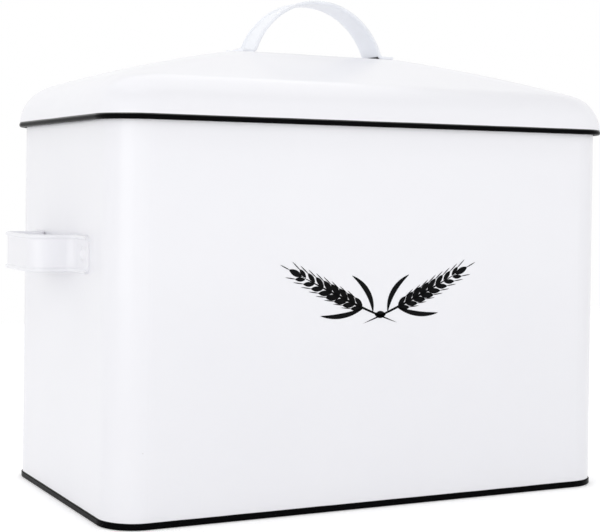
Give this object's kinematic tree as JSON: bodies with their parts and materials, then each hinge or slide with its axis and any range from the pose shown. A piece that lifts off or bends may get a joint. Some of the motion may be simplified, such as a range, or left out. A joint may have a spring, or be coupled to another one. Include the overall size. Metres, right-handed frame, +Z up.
{
  "type": "bread bin",
  "caption": "Enamelled steel bread bin with rounded corners, strap handles on the ends and a lift-off hipped lid with a bowed strap handle, black beads round lid and base.",
  "frame": {"origin": "on the counter, under the middle of the bin", "axes": "+X to the right as seen from the front, +Y to the back, +Z up"},
  "size_m": [0.3098, 0.1564, 0.2458],
  "materials": {
    "white_enamel": "white enamel, glossy, faint orange peel",
    "black_enamel": "black enamel, glossy",
    "plain_steel": "plain zinc-plated steel"
  },
  "bodies": {
    "bin": {"body_wall": "white_enamel", "body_rim_wire": "plain_steel", "bottom_pan": "white_enamel", "bottom_rim": "black_enamel", "left_handle": "white_enamel", "left_handle_rivets": "white_enamel", "left_handle_washers": "plain_steel", "right_handle": "white_enamel", "right_handle_rivets": "white_enamel", "right_handle_washers": "plain_steel"},
    "lid": {"lid_shell": "white_enamel", "lid_rim": "black_enamel", "lid_rim_wire": "plain_steel", "lid_handle": "white_enamel", "lid_handle_rivets": "white_enamel", "lid_handle_washers": "plain_steel"}
  },
  "joints": [
    {"name": "lid_lift", "type": "slide", "parent": "bin", "child": "lid", "axis": [0, 0, 1], "range_m": [0, 0.2]}
  ]
}
